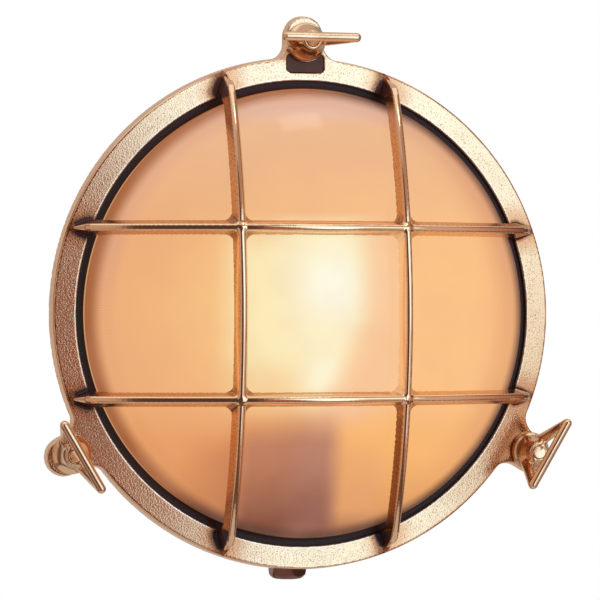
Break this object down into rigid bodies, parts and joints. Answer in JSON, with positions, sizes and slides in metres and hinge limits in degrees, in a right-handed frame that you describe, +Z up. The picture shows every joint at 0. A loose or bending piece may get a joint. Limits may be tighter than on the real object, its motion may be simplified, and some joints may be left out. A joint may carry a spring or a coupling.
{
  "type": "round bulkhead light with guard cage",
  "caption": "Round cast metal wall light with a domed frosted glass behind a curved guard cage, held by wing nuts on studs at its rim.",
  "frame": {"origin": "centre of the back face, on the wall and on the light's own axis", "axes": "+Z up, -Y out of the wall towards the viewer, +X to the viewer's right"},
  "size_m": [0.2478, 0.102, 0.2694],
  "materials": {
    "cast_brass_front": "sand-cast, polished on the edges and the cage's ridges",
    "cast_brass_base": "sand-cast, dull",
    "polished_brass": "polished",
    "dull_brass": "darkened, satin",
    "bright_brass": "bright drawn sheet",
    "zinc_steel": "zinc plated",
    "frosted_glass": "frosted inside, smooth outside",
    "lamp_glass": "pearl",
    "black_rubber": "matt",
    "porcelain": "glazed porcelain",
    "white_plastic": "moulded",
    "lead_sleeve_white": "woven sleeve",
    "lead_sleeve_blue": "woven sleeve"
  },
  "bodies": {
    "housing": {"back_casting": "cast_brass_base", "stud_top": "polished_brass", "stud_left": "polished_brass", "stud_right": "polished_brass", "lampholder_bracket": "zinc_steel", "bracket_screws": "zinc_steel", "lampholder_body": "porcelain", "lampholder_shell": "bright_brass", "lampholder_contact": "bright_brass", "lampholder_screws": "zinc_steel", "bulb": "lamp_glass", "terminal_block": "white_plastic", "terminal_clamps": "bright_brass", "terminal_screws": "zinc_steel", "block_screws": "zinc_steel", "live_lead": "lead_sleeve_white", "neutral_lead": "lead_sleeve_blue", "earth_screw": "bright_brass", "gland_washer": "black_rubber", "gland_body": "dull_brass", "gland_seal": "black_rubber", "gland_nut": "dull_brass"},
    "front": {"cage_ring": "cast_brass_front", "glass_dome": "frosted_glass", "glass_gasket": "black_rubber"},
    "top_washer": {"washer_top": "polished_brass"},
    "top_nut": {"wing_nut_top": "polished_brass"},
    "left_washer": {"washer_left": "polished_brass"},
    "left_nut": {"wing_nut_left": "polished_brass"},
    "right_washer": {"washer_right": "polished_brass"},
    "right_nut": {"wing_nut_right": "polished_brass"}
  },
  "joints": [
    {"name": "front_lift_off", "type": "slide", "parent": "housing", "child": "front", "axis": [0, -1, 0], "range_m": [0, 0.06]},
    {"name": "wing_nut_top_turn", "type": "hinge", "parent": "front", "child": "top_washer", "pos_m": [0, -0.0634, 0.1282], "axis": [0, -1, 0], "range_deg": [0, 5040]},
    {"name": "wing_nut_top_run", "type": "slide", "parent": "top_washer", "child": "top_nut", "axis": [0, -1, 0], "range_m": [0, 0.01401]},
    {"name": "wing_nut_left_turn", "type": "hinge", "parent": "front", "child": "left_washer", "pos_m": [-0.1123, -0.0634, -0.0652], "axis": [0, -1, 0], "range_deg": [0, 5040]},
    {"name": "wing_nut_left_run", "type": "slide", "parent": "left_washer", "child": "left_nut", "axis": [0, -1, 0], "range_m": [0, 0.01401]},
    {"name": "wing_nut_right_turn", "type": "hinge", "parent": "front", "child": "right_washer", "pos_m": [0.1119, -0.0634, -0.0664], "axis": [0, -1, 0], "range_deg": [0, 5040]},
    {"name": "wing_nut_right_run", "type": "slide", "parent": "right_washer", "child": "right_nut", "axis": [0, -1, 0], "range_m": [0, 0.01401]}
  ],
  "couplings": [
    {"joint": "wing_nut_top_run", "follows": "wing_nut_top_turn", "m_per_rad": 0.00015915},
    {"joint": "wing_nut_left_run", "follows": "wing_nut_left_turn", "m_per_rad": 0.00015915},
    {"joint": "wing_nut_right_run", "follows": "wing_nut_right_turn", "m_per_rad": 0.00015915}
  ]
}
